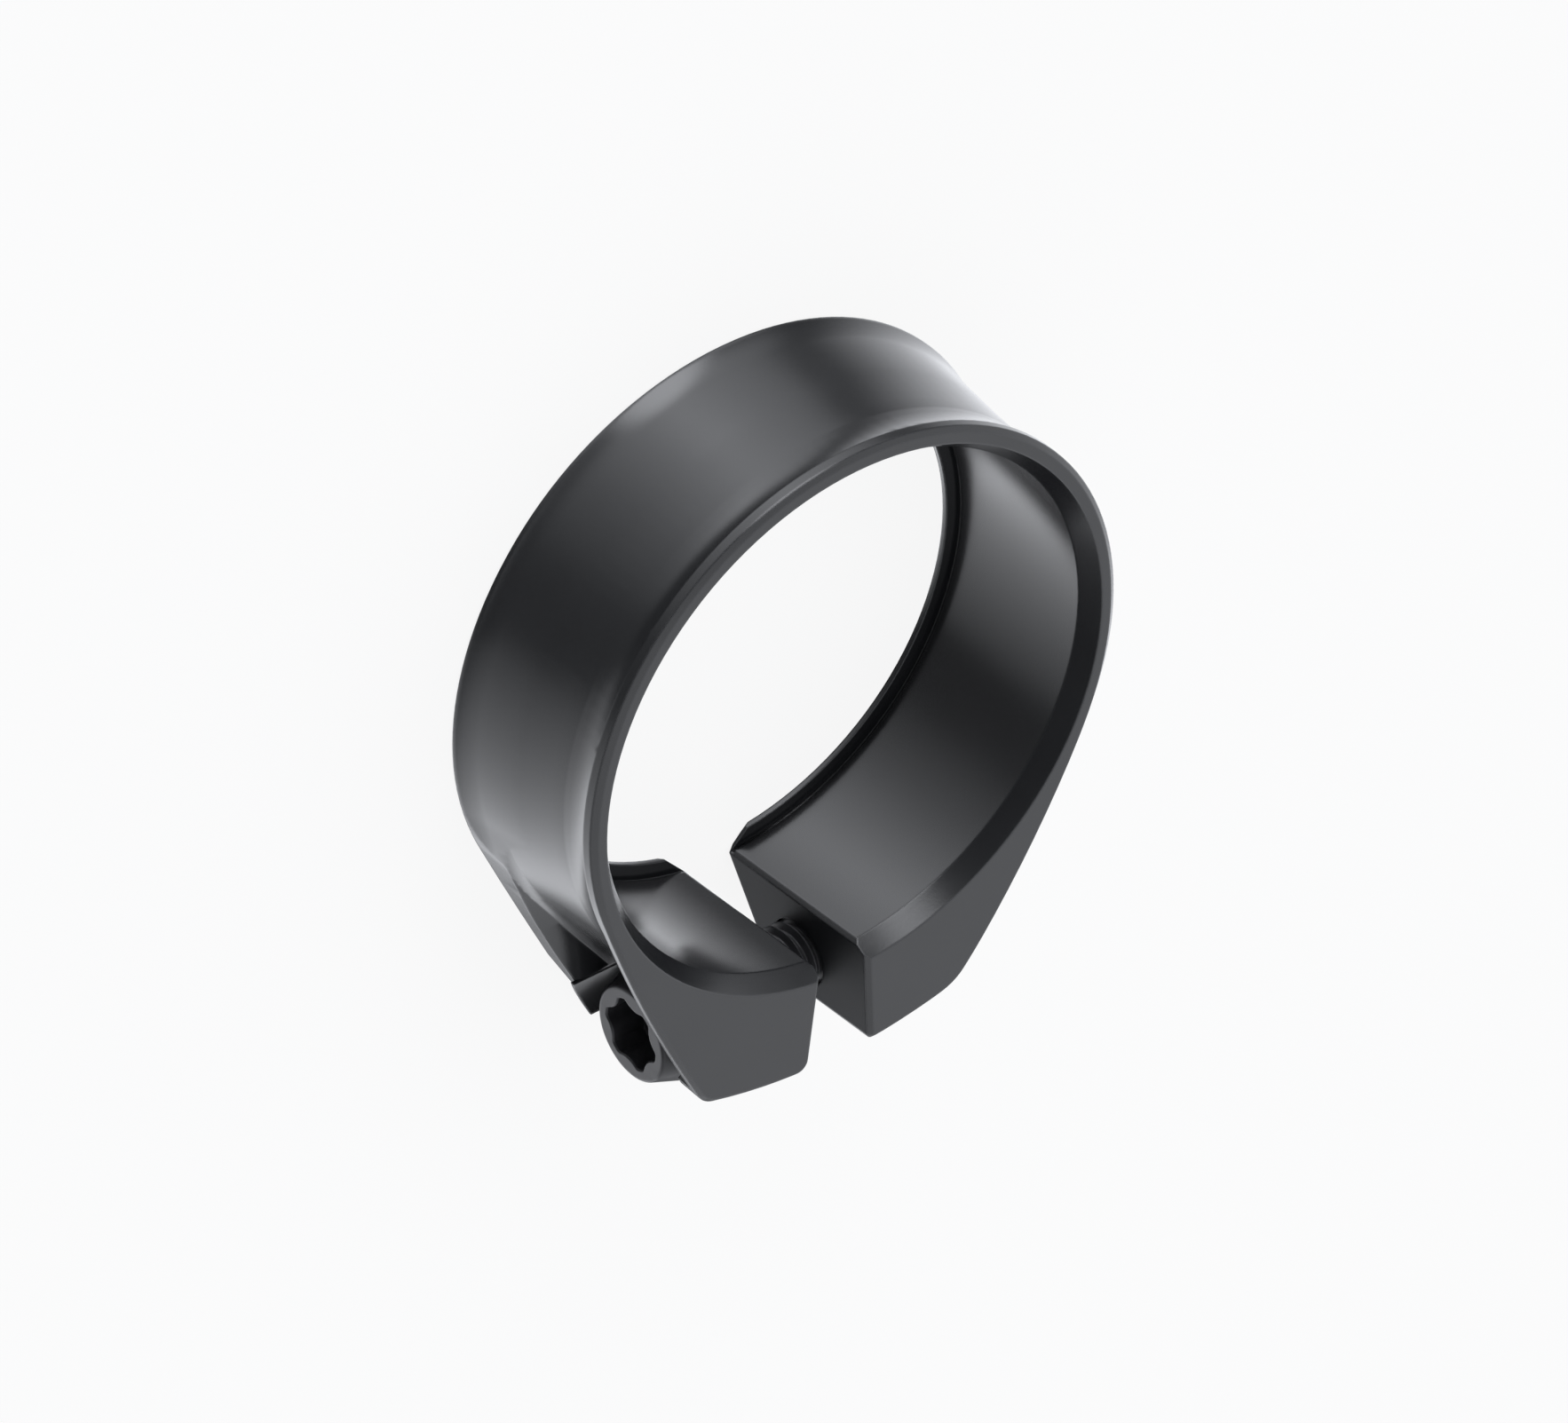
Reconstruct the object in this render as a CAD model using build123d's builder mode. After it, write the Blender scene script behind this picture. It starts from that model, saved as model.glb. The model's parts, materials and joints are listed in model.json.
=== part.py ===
from build123d import *
import os
from math import asin, atan2, cos, degrees, hypot, radians, sin, sqrt, tan

# Seatpost clamp, sizes in millimetres and degrees. The origin is on the bore axis at the outer face of the
# lip, +Z runs along the bore out of the mouth, +X along the screw towards its head, +Y through the lugs.

# Ring, a little smaller at the mouth than at the lip
bore_radius = 19.7
ring_wall = 2.7
rim_taper = 0.57
collar_height = 14.35
mouth_edge_break = 0.35
lip_edge_break = 0.2

# Lip that stops the seat tube, with a relief groove in its root
lip_reach = 1.05
lip_thickness = 0.41
relief_depth = 0.2
relief_width = 0.3

# Lead-in cone at the mouth
mouth_cone_width = 0.95
mouth_cone_depth = 1.4

# Lugs: slightly bowed flanks that leave the rim at an angle, and a shallow arc over both ends
head_turn_lip = 25.0
head_bow_lip = 500.0
head_turn_mouth = 18.3
head_bow_mouth = 120.0
thread_turn = 23.5
thread_bow = 70.0
lug_reach = 5.42
lug_end_radius = 38.0
lug_end_shift = 1.4
head_corner_round = 2.0
thread_corner_round = 4.0

# Slope of the lugs on the lip side, turned a little so that the head-side lug keeps more of its height
slope_start = 0.5
lug_slope = 28.2
slope_turn = 6.5

# Slit between the lugs, wider outwards, leaning towards the screw head, bevelled where it meets the bore
slit_turn = 2.2
slit_width = 3.65
slit_flare = 5.0
slit_lean = 2.4
slit_bevel = 0.2
head_gap_round = 1.2
thread_gap_round = 0.5

# Waist round the outside: a short root at the lip flange, a long shallow arc and a short rise to the mouth
waist_depth = 1.05
waist_root_height = 4.0
waist_root_radius = 3.0
waist_root_turn = 35.0
waist_drop = 0.5
waist_low = 3.7
waist_rise = 0.55
mouth_flange = 0.9
waist_head_flank = 36.5
waist_head_run = 12.3
waist_thread_flank = 36.0

# Clamp screw, its axis out from the rim at mid-height, its head a little under the flank
screw_radius = 2.5
screw_length = 16.0
screw_out = 2.03
screw_tip = 0.5
head_recess = 0.07
head_front_radius = 3.46
head_radius = 4.25
head_height = 4.4
head_rim_height = 2.3
head_round = 0.3

# Six-lobe socket in the screw head
lobe_count = 6
lobe_radius = 2.63
valley_depth = 0.74
valley_radius = 1.12
lobe_round = 0.35
lobe_turn = 23.0
socket_depth = 2.6
socket_lead_in = 0.3

# Washer under the head
washer_thickness = 0.8
washer_radius = 4.75
washer_play = 0.15

# Screw holes in the lugs
pocket_play = 0.25
hole_play = 0.25
thread_play = 0.05

# How far cutting shapes run past the solid
overrun = 2.0

rim_radius = bore_radius + ring_wall
mouth_rim_radius = rim_radius - rim_taper
lip_radius = bore_radius - lip_reach
lug_end_y = rim_radius + lug_reach
waist_radius = rim_radius - waist_depth
screw_y = rim_radius + screw_out
screw_z = collar_height / 2


def flank_centre(rim, turn, bow, side):
    """Centre of a bowed flank that touches the rim at the turn."""
    return (side * (rim - bow) * cos(radians(turn)), (rim - bow) * sin(radians(turn)))


def flank_x(rim, turn, bow, y):
    """Place along X of the head-side flank at a distance out along Y."""
    centre_x, centre_y = flank_centre(rim, turn, bow, 1)
    return centre_x + sqrt(bow**2 - (y - centre_y) ** 2)


def flank_corner(rim, turn, bow, side):
    """Point where a flank meets the arc of the lug ends."""
    centre_x, centre_y = flank_centre(rim, turn, bow, side)
    off_x = lug_end_shift - centre_x
    off_y = lug_end_y - lug_end_radius - centre_y
    apart = hypot(off_x, off_y)
    along = (bow**2 - lug_end_radius**2 + apart**2) / (2 * apart)
    across = side * sqrt(bow**2 - along**2)
    corner_x = centre_x + (along * off_x - across * off_y) / apart
    corner_y = centre_y + (along * off_y + across * off_x) / apart
    return (corner_x, corner_y)


def flank_arc(rim, turn, bow, side):
    """Start, middle and end of a flank, from the rim to the lug end."""
    centre_x, centre_y = flank_centre(rim, turn, bow, side)
    corner = flank_corner(rim, turn, bow, side)
    corner_turn = degrees(atan2(corner[1] - centre_y, side * (corner[0] - centre_x)))
    middle = radians((turn + corner_turn) / 2)
    start = (side * rim * cos(radians(turn)), rim * sin(radians(turn)))
    return start, (centre_x + side * bow * cos(middle), centre_y + bow * sin(middle)), corner


def tangent_point(radius, angle, along, side):
    """Point on the line that touches the circle at the angle, the given way along it towards the lug."""
    turn = radians(angle)
    return (side * (radius * cos(turn) - along * sin(turn)), radius * sin(turn) + along * cos(turn))


def slit_point(across, out):
    """Point of the slit's outline, across its middle plane and out from the bore axis."""
    turn = radians(slit_turn)
    return (across * cos(turn) + out * sin(turn), out * cos(turn) - across * sin(turn))


def slit_half(out):
    """Half the slit's width at a distance from the bore axis."""
    return slit_width / 2 + (out - bore_radius) * tan(radians(slit_flare))


def screw_plane(x):
    """Plane across the screw axis, facing out of the head."""
    return Plane(origin=(x, screw_y, screw_z), x_dir=(0, 1, 0), z_dir=(1, 0, 0))


lip_flank_x = flank_x(rim_radius, head_turn_lip, head_bow_lip, screw_y)
mouth_flank_x = flank_x(mouth_rim_radius, head_turn_mouth, head_bow_mouth, screw_y)
head_front_x = (lip_flank_x + mouth_flank_x) / 2 - head_recess
head_seat_x = head_front_x - head_height
pocket_seat_x = head_seat_x - washer_thickness

with BuildPart() as collar:
    # Ring with both lugs, from its outline at the lip to that at the mouth
    for height, rim, head_turn, head_bow in (
        (0, rim_radius, head_turn_lip, head_bow_lip),
        (collar_height, mouth_rim_radius, head_turn_mouth, head_bow_mouth),
    ):
        head_start, head_middle, head_corner = flank_arc(rim, head_turn, head_bow, 1)
        thread_start, thread_middle, thread_corner = flank_arc(rim, thread_turn, thread_bow, -1)
        with BuildSketch(Plane.XY.offset(height)) as plan:
            with BuildLine():
                ThreePointArc(thread_start, (0, -rim), head_start)
                ThreePointArc(head_start, head_middle, head_corner)
                ThreePointArc(head_corner, (lug_end_shift, lug_end_y), thread_corner)
                ThreePointArc(thread_corner, thread_middle, thread_start)
            make_face()
            fillet(plan.vertices().sort_by_distance(head_corner)[0], radius=head_corner_round)
            fillet(plan.vertices().sort_by_distance(thread_corner)[0], radius=thread_corner_round)
    loft(ruled=True)

    # Slit, cut from above the mouth down along its lean
    lean = tan(radians(slit_lean))
    with BuildSketch(Plane(origin=(-overrun * lean, 0, collar_height + overrun))):
        slit_out = lug_end_y + overrun
        bevel_out = bore_radius + slit_bevel
        slit_in = lip_radius - overrun
        bevel_half = slit_half(bevel_out) + bevel_out - slit_in
        with BuildLine():
            Polyline(
                slit_point(slit_half(slit_out), slit_out),
                slit_point(slit_half(bevel_out), bevel_out),
                slit_point(bevel_half, slit_in),
                slit_point(-bevel_half, slit_in),
                slit_point(-slit_half(bevel_out), bevel_out),
                slit_point(-slit_half(slit_out), slit_out),
                close=True,
            )
        make_face()
    slit_run = hypot(1, lean) * (collar_height + 2 * overrun)
    extrude(amount=slit_run, dir=(lean, 0, -1), mode=Mode.SUBTRACT)
    slit_mouth = (lug_end_y * tan(radians(slit_turn)), lug_end_y, collar_height / 2)
    upright_edges = collar.edges().filter_by(lambda e: e.length > collar_height / 2)
    gap_edges = upright_edges.sort_by_distance(slit_mouth)[:2]
    fillet(gap_edges.sort_by(Axis.X)[-1], radius=head_gap_round)
    upright_edges = collar.edges().filter_by(lambda e: e.length > collar_height / 2)
    fillet(upright_edges.sort_by_distance(slit_mouth)[0], radius=thread_gap_round)

    # Broken edges round the lugs, the slit and the rim on both sides
    chamfer(collar.faces().sort_by(Axis.Z)[-1].edges(), length=mouth_edge_break)
    chamfer(collar.faces().sort_by(Axis.Z)[0].edges(), length=lip_edge_break)

    # Bore with the lip, its relief groove and the lead-in cone
    with BuildSketch(Plane.XZ):
        relief_top = lip_thickness + relief_width
        cone_out = mouth_cone_width * (1 + overrun / mouth_cone_depth)
        with BuildLine():
            Polyline(
                (0, -overrun),
                (lip_radius, -overrun),
                (lip_radius, lip_thickness),
                (bore_radius + relief_depth, lip_thickness),
                (bore_radius + relief_depth, relief_top),
                (bore_radius, relief_top),
                (bore_radius, collar_height - mouth_cone_depth),
                (bore_radius + cone_out, collar_height + overrun),
                (0, collar_height + overrun),
                close=True,
            )
        make_face()
    revolve(axis=Axis.Z, mode=Mode.SUBTRACT)

    # Slope of both lugs on the lip side
    slope_side = (cos(radians(slope_turn)), sin(radians(slope_turn)), 0)
    slope_way = (-slope_side[1], slope_side[0], 0)
    with BuildSketch(Plane(origin=(0, 0, 0), x_dir=slope_way, z_dir=slope_side)):
        slope_in = lip_radius + slope_start
        slope_out = lug_end_y + overrun
        with BuildLine():
            Polyline(
                (slope_in, 0),
                (slope_out, (slope_out - slope_in) * tan(radians(lug_slope))),
                (slope_out, 0),
                close=True,
            )
        make_face()
    extrude(amount=rim_radius, both=True, mode=Mode.SUBTRACT)

    # Waist, led along the head-side flank up to the pocket, round the ring and out over the thread-side flank
    with BuildLine() as waist_path:
        Line(
            tangent_point(waist_radius, waist_head_flank, waist_head_run, 1),
            tangent_point(waist_radius, waist_head_flank, 0, 1),
        )
        ThreePointArc(
            tangent_point(waist_radius, waist_head_flank, 0, 1),
            (0, -waist_radius),
            tangent_point(waist_radius, waist_thread_flank, 0, -1),
        )
        Line(
            tangent_point(waist_radius, waist_thread_flank, 0, -1),
            tangent_point(waist_radius, waist_thread_flank, lug_end_y, -1),
        )
    waist_start = Plane(
        origin=waist_path.line @ 0,
        x_dir=(cos(radians(waist_head_flank)), sin(radians(waist_head_flank)), 0),
        z_dir=waist_path.line % 0,
    )
    with BuildSketch(waist_start):
        low_z = collar_height - waist_low
        long_run = low_z - waist_root_height
        long_radius = (long_run**2 + waist_drop**2) / (2 * waist_drop)
        root_turn = asin(long_run / long_radius)
        rise_run = waist_low - mouth_flange
        rise_radius = (rise_run**2 + waist_rise**2) / (2 * waist_rise)
        rise_turn = asin(rise_run / rise_radius)
        root_x = waist_drop + waist_root_radius * cos(root_turn)
        root_z = waist_root_height + waist_root_radius * sin(root_turn)
        root_end = radians(waist_root_turn)
        root_middle = (root_turn + root_end) / 2
        root_way_x = root_x - waist_root_radius * cos(root_middle)
        root_way_z = root_z - waist_root_radius * sin(root_middle)
        root_top = (root_x - waist_root_radius * cos(root_end), root_z - waist_root_radius * sin(root_end))
        root_foot = (waist_drop, waist_root_height)
        waist_out = lug_reach + overrun
        with BuildLine():
            ThreePointArc(root_top, (root_way_x, root_way_z), root_foot)
            ThreePointArc(
                root_foot,
                (long_radius * (1 - cos(root_turn / 2)), low_z - long_radius * sin(root_turn / 2)),
                (0, low_z),
            )
            ThreePointArc(
                (0, low_z),
                (rise_radius * (1 - cos(rise_turn / 2)), low_z + rise_radius * sin(rise_turn / 2)),
                (waist_rise, collar_height - mouth_flange),
            )
            Polyline(
                (waist_rise, collar_height - mouth_flange),
                (waist_out, collar_height - mouth_flange),
                (waist_out, root_top[1]),
                root_top,
            )
        make_face()
    sweep(path=waist_path.line, mode=Mode.SUBTRACT)

    # Screw-head pocket with its clearance hole, and the hole for the thread
    pocket_out = rim_radius
    slit_x = screw_y * tan(radians(slit_turn))
    with Locations(screw_plane(pocket_out)):
        CounterBoreHole(
            radius=screw_radius + hole_play,
            counter_bore_radius=washer_radius + pocket_play,
            counter_bore_depth=pocket_out - pocket_seat_x,
            depth=pocket_out - slit_x,
        )
    with Locations(screw_plane(slit_x)):
        Hole(radius=screw_radius + thread_play, depth=rim_radius)

with BuildPart() as washer:
    with BuildSketch(screw_plane(pocket_seat_x)):
        Circle(radius=washer_radius)
        Circle(radius=screw_radius + washer_play, mode=Mode.SUBTRACT)
    extrude(amount=washer_thickness)

with BuildPart() as clamp_screw:
    # Tapered head and shank, turned about the screw axis
    with BuildSketch(Plane(origin=(0, screw_y, screw_z), x_dir=(1, 0, 0), z_dir=(0, 0, 1))):
        with BuildLine():
            Polyline(
                (head_front_x, 0),
                (head_front_x, head_front_radius),
                (head_front_x - head_rim_height, head_radius),
                (head_seat_x, head_radius),
                (head_seat_x, screw_radius),
                (head_seat_x - screw_length + screw_tip, screw_radius),
                (head_seat_x - screw_length, screw_radius - screw_tip),
                (head_seat_x - screw_length, 0),
                close=True,
            )
        make_face()
    revolve(axis=Axis((0, screw_y, screw_z), (1, 0, 0)))
    front_rim = clamp_screw.faces().sort_by(Axis.X)[-1].edges()
    fillet(front_rim, radius=head_round)

    # Six-lobe socket
    with BuildSketch(screw_plane(head_front_x)) as socket:
        Circle(radius=lobe_radius)
        valley_out = lobe_radius - valley_depth + valley_radius
        half_lobe = 180 / lobe_count
        with PolarLocations(valley_out, lobe_count, start_angle=lobe_turn + half_lobe):
            Circle(radius=valley_radius, mode=Mode.SUBTRACT)
        fillet(socket.vertices(), radius=lobe_round)
    extrude(amount=-socket_depth, mode=Mode.SUBTRACT)
    socket_rim = clamp_screw.faces().sort_by(Axis.X)[-1].inner_wires()[0].edges()
    chamfer(socket_rim, length=socket_lead_in)

collar.part.label = "collar"
washer.part.label = "washer"
clamp_screw.part.label = "clamp_screw"

os.makedirs("parts", exist_ok=True)
export_step(collar.part, "parts/collar.step")
export_step(washer.part, "parts/washer.step")
export_step(clamp_screw.part, "parts/clamp_screw.step")
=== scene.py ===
import json
import math

import bmesh
import bpy
import numpy as np
from bpy.props import FloatProperty, FloatVectorProperty, IntProperty, PointerProperty
from mathutils import Matrix, Vector


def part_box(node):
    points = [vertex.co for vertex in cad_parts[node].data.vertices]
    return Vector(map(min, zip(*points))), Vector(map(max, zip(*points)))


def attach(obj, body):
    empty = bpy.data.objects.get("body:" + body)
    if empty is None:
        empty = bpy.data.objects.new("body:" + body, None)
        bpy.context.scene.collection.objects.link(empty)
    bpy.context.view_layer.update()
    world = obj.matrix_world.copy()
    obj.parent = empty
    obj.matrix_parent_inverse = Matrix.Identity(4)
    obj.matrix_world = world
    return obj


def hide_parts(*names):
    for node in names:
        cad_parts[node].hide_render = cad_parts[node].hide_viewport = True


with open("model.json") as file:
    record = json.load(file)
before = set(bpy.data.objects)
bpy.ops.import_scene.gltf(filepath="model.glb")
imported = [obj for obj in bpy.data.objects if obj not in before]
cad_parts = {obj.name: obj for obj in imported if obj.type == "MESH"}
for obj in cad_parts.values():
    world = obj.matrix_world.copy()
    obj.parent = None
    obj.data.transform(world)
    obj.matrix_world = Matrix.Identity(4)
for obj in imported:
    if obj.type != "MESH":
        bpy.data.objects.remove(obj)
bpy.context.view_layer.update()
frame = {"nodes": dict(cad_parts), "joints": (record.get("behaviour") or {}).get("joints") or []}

bl_info = {
    "name": "Seatpost Clamp",
    "version": (1, 0, 0),
    "blender": (4, 5, 0),
    "location": "View3D > Sidebar > Clamp",
    "description": "Finishes the split clamp, cuts the thread of its screw and sets the studio",
    "category": "Object",
}

MM = 0.001
SCREW_LOW, SCREW_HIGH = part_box("clamp_screw")
SCREW_Y, SCREW_Z = next(j["pos_m"][1:] for j in frame["joints"] if j["name"] == "screw_turn")

# Screw: the dish in the socket's floor, the foot of the socket's wall, the blend of the head's
# taper into its rim, the bevel of the seat's edge and the fillet under the head
SOCKET_DISH = 0.2 * MM
WALL_FOOT = 0.05 * MM
RIM_BLEND = 0.12 * MM
SEAT_BEVEL = 0.15 * MM
NECK_FILLET = 0.25 * MM
# Shares of a pitch that the thread's flat crest and flat root take up
CREST_SHARE, ROOT_SHARE = 0.125, 0.25
SCREW_SHARP = math.radians(35)

# Plane of the lugs' slope on the lip side: its turn round the bore, its start out from the axis
# and its rise
SLOPE_TURN = math.radians(6.5)
SLOPE_START = 19.15 * MM
LUG_SLOPE = math.radians(28.2)

# Flange's bevel: its run along the waist's line in millimetres, the distance after which it lies
# flat, the least share of its tilt, and how far its wedge passes the flank, stands out and
# stands up
FLANGE_RUN, FLANGE_STEPS = (-4.6, 13.0), 60
FLANGE_FLAT = 12.5 * MM
LEAST_TILT = 0.12
FLANGE_OVERLAP = 0.02 * MM
FLANGE_OUT = 1.0 * MM
FLANGE_UP = 0.6 * MM

# Smooth lip: its ends round the bore in degrees, and for each end the angle at which it starts to
# lift clear of the part and the degrees that the lift takes
LIP_TURN, LIP_STEPS = (33.0, -206.0), 226
LIP_HEAD_END, LIP_HEAD_FADE = 15, 18
LIP_THREAD_END, LIP_THREAD_FADE = -176, 30
LIP_LIFT = 0.62 * MM
# Its height at the waist, the millimetres down to the end of the straight part and to its foot,
# its start out from the waist, its slope, its square term and how far its cutter stands out
LIP_TOP = 6.5 * MM
LIP_STRAIGHT, LIP_FOOT = 4.2, 6.2
LIP_START, LIP_SLOPE, LIP_FLARE = 0.198 * MM, 0.0937, 0.0725 / MM
LIP_OUT = 1.2 * MM

# Pocket's sill: its ends round the screw in degrees, its start along the screw, clear of the
# washer, and how far it stands out of the lug's flank
SILL_TURN, SILL_STEPS = (248.0, 288.0), 32
SILL_START = 8.3 * MM
SILL_PROUD = 0.1 * MM

# Collar's skin: the distance within which points are joined, the step to which places are told
# apart, the cosine above which faces face one way, the angle above which edges are sharp, and the
# least number of faces that a whole skin has
JOIN_WITHIN = 0.0005 * MM
MICRON = 0.001 * MM
SAME_WAY = 0.97
COLLAR_SHARP = math.radians(28)
FEWEST_FACES = 1000

# Sawn faces of the slit: cosines to the screw's axis, and distances out from the bore's axis,
# between which the sawn finish sets in
SAWN_FACING = (0.95, 0.98)
SAWN_REACH = (18.5 * MM, 19.5 * MM)

# Span of a noise pattern's values that is spread over a whole range
NOISE_SPAN = {"From_Min": 0.3, "From_Max": 0.7}

# Brightness of the studio's panels by their angle round the vertical, in degrees from the screw
# head's side, and the sines of the heights between which they fade in and out
PANELS = ((-180, 1.2), (-152, 0.22), (-141, 0.27), (-131, 1.0), (-97, 2.1), (-60, 0.82),
          (-30, 0.2), (-3, 0.14), (6, 0.5), (22, 0.85), (60, 1.55), (80, 1.95), (94, 1.7),
          (102, 0.3), (128, 0.3), (139, 1.8), (180, 1.2))
PANEL_PEAK = 2.5
PANEL_TINT = "#f8faff"
PANEL_LOW = (-0.95, -0.85)
PANEL_HIGH = (-0.32, 0.12)
# Overhead softbox: its aim, the cosines of its soft edge, and the brightness around it and in it
OVERHEAD_AIM = (-0.354, 0.354, 0.866)
OVERHEAD_EDGE = (0.17, 0.42)
OVERHEAD_LEVEL = (0.08, 0.9)
# Upright side lamp: its aim, its narrowing in each direction, its soft edge and its brightness
SIDE_AIM = (-0.087, -0.995, 0.05)
SIDE_SHAPE = (1.0, 1.0, 0.6)
SIDE_EDGE = (0.2, 0.4)
SIDE_LEVEL = 4.5
# White line at the horizon: the sine of its height and how far it reaches to each side
HORIZON, HORIZON_REACH = 0.02, 0.04

# Floor: half its side in metres, its place just under the part, and the share of plain white in it
FLOOR_REACH = 3.0
FLOOR_LEVEL = -0.02 * MM
FLOOR_PLAIN = 0.88

# Camera fitted to the photograph: its place in millimetres, its picture's right and up, its focal
# length and sensor in millimetres, and its clipping distances
CAMERA_SEAT = (514.396, -640.440, 648.992)
CAMERA_RIGHT = (-0.78453, -0.00824, 0.62003)
CAMERA_UP = (-0.37718, -0.78731, -0.48773)
CAMERA_LENS, CAMERA_SENSOR = 365.46, 36.0
CAMERA_CLIP = (0.1, 20.0)


def linear(hex_colour):
    """Linear red, green and blue of an sRGB hex colour."""
    parts = [int(hex_colour[i:i + 2], 16) / 255 for i in (1, 3, 5)]
    return tuple(p / 12.92 if p <= 0.04045 else ((p + 0.055) / 1.055) ** 2.4 for p in parts)


def length(label, about, millimetres):
    """A size property, given in millimetres and kept in metres."""
    return FloatProperty(name=label, description=about, default=millimetres * MM, min=0.0,
                         precision=5, subtype="DISTANCE", unit="LENGTH")


def angle(label, about, degrees):
    """An angle property, given in degrees and kept in radians."""
    return FloatProperty(name=label, description=about, default=math.radians(degrees),
                         subtype="ANGLE", unit="ROTATION")


def colour(label, about, hex_colour):
    """A colour property, given as an sRGB hex value and kept linear."""
    return FloatVectorProperty(name=label, description=about, default=linear(hex_colour), size=3,
                               min=0.0, max=1.0, subtype="COLOR")


class ClampSizes(bpy.types.PropertyGroup):
    """Sizes of the screw, of the forms cut from the collar and of the grain of the finishes."""

    pitch: length("Thread pitch", "Advance of the thread in one turn", 0.8)
    thread_radius: length("Thread radius", "Radius over the crests of the thread", 2.48)
    thread_depth: length("Thread depth", "From crest to root of the thread", 0.48)
    shank: length("Plain shank", "Unthreaded length under the head", 1.0)
    head_radius: length("Head radius", "Radius of the head at its seat", 4.25)
    front_radius: length("Front radius", "Radius of the head at its front", 3.46)
    rim_height: length("Head taper", "Length of the tapered part of the head", 2.3)
    head_height: length("Head height", "Length of the head", 4.4)
    head_round: length("Head edge", "Radius of the rounded front edge", 0.3)
    lobe_radius: length("Lobe radius", "Radius over the lobes of the socket", 2.6)
    valley_depth: length("Valley depth", "From lobe to valley of the socket", 0.45)
    valley_radius: length("Valley radius", "Radius of the valleys of the socket", 1.6)
    lobe_round: length("Lobe blend", "Softness of the corners between lobes and valleys", 0.06)
    socket_depth: length("Socket depth", "Depth of the socket", 2.6)
    lead_in: length("Lead-in", "Width of the bevel round the socket", 0.1)
    lobe_turn: angle("Socket turn", "Angle of the first lobe from the lug axis", 23.0)
    around: IntProperty(name="Steps around", description="Points round the screw",
                        default=96, min=24)
    per_pitch: IntProperty(name="Steps per pitch", description="Rows in each turn of the thread",
                           default=24, min=8)
    rim_radius: length("Rim radius", "Radius of the ring's outside at the lip", 22.4)
    waist_radius: length("Waist radius", "Radius of the waist's deepest line", 21.35)
    waist_turn: angle("Waist flank", "Angle at which the waist leaves the ring for the head", 36.5)
    flank_turn: angle("Lug flank", "Angle at which the lug's flank leaves the ring", 25.0)
    flange_inset: length("Flange inset", "From the waist's line to the flange's inner edge", 1.0)
    flange_top: length("Flange top", "Height of the flange's inner edge", 2.74)
    flange_tilt: angle("Flange tilt", "Fall of the flange's bevel where it leaves the ring", 42.0)
    flange_foot: length("Flange foot", "Upright wall left at the flange's outer edge", 0.15)
    pocket_radius: length("Pocket radius", "Radius of the pocket round the screw head", 4.97)
    sill_wall: length("Sill wall", "Thickness of the sill under the pocket", 0.26)
    edge: length("Edge softness", "Radius that light sees on the collar's edges", 0.22)
    blast_grain: length("Blast grain", "Size of the dimples under the anodised layer", 0.16)
    tool_lines: length("Tool lines", "Spacing of the turning lines", 0.3)
    cloud: length("Cloudiness", "Size of the soft variations of the finish", 7.0)
    screw_edge: length("Screw edge", "Radius that light sees on the screw's edges", 0.12)
    oil_mottle: length("Oil mottle", "Size of the spots that the oil leaves on the screw", 0.9)
    oxide_grain: length("Oxide grain", "Size of the grain of the screw's oxide layer", 0.1)
    streak: length("Rolling streaks", "Width of the streaks on the washer", 0.3)
    fibre: length("Card fibre", "Size of the fibres in the floor's card", 2.0)


class ClampColours(bpy.types.PropertyGroup):
    """Colours of the finishes and of the studio."""

    anodise: colour("Anodised black", "Dyed oxide layer of the collar", "#1c1d1f")
    # Painted highlight: the paler colour that the collar's edges are given, standing in for the
    # light they catch
    anodise_edge_highlight: colour("Anodised edge", "Oxide layer where it is thin, on the edges", "#3a3b3d")
    oxide: colour("Black oxide", "Oiled oxide layer of the screw", "#303032")
    # On the screw this paler colour is partly rubbed wear and partly a painted glint on the crests
    # and rims
    oxide_worn: colour("Worn oxide", "Screw where the oxide is rubbed thin", "#47474a")
    washer: colour("Blackened steel", "Washer under the head", "#29292b")
    floor: colour("Floor", "Pale floor under the part", "#f6f6f6")


def add_node(tree, kind, settings=None, **inputs):
    """Adds a node, sets its properties, and sets or links its inputs.

    An input is named, with _ for a blank, or numbered as in_0.
    """
    node = tree.nodes.new(kind)
    for name, value in (settings or {}).items():
        setattr(node, name, value)
    for name, value in inputs.items():
        key = int(name[3:]) if name.startswith("in_") else name.replace("_", " ")
        socket = node.inputs[key]
        if isinstance(value, bpy.types.NodeSocket):
            tree.links.new(value, socket)
        else:
            socket.default_value = value
    return node


def empty_tree(holder):
    """The node tree of a new material or world, with nothing in it."""
    holder.use_nodes = True
    holder.node_tree.nodes.clear()
    return holder.node_tree


def rounded_edges(tree, radius, fade, most):
    """Normal that rounds the edges off by a radius, and how much each place is an edge.

    An edge is where the rounded normal leaves the true one: its share grows from zero, where they
    agree, to the most, where the cosine between them is down to fade.
    """
    soft = add_node(tree, "ShaderNodeBevel", {"samples": 6}, Radius=radius)
    true = add_node(tree, "ShaderNodeNewGeometry")
    agree = add_node(tree, "ShaderNodeVectorMath", {"operation": "DOT_PRODUCT"},
                     in_0=soft.outputs[0], in_1=true.outputs["Normal"])
    edge = add_node(tree, "ShaderNodeMapRange", Value=agree.outputs["Value"],
                    From_Min=1.0, From_Max=fade, To_Min=0.0, To_Max=most)
    return soft.outputs[0], edge.outputs[0]


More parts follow.
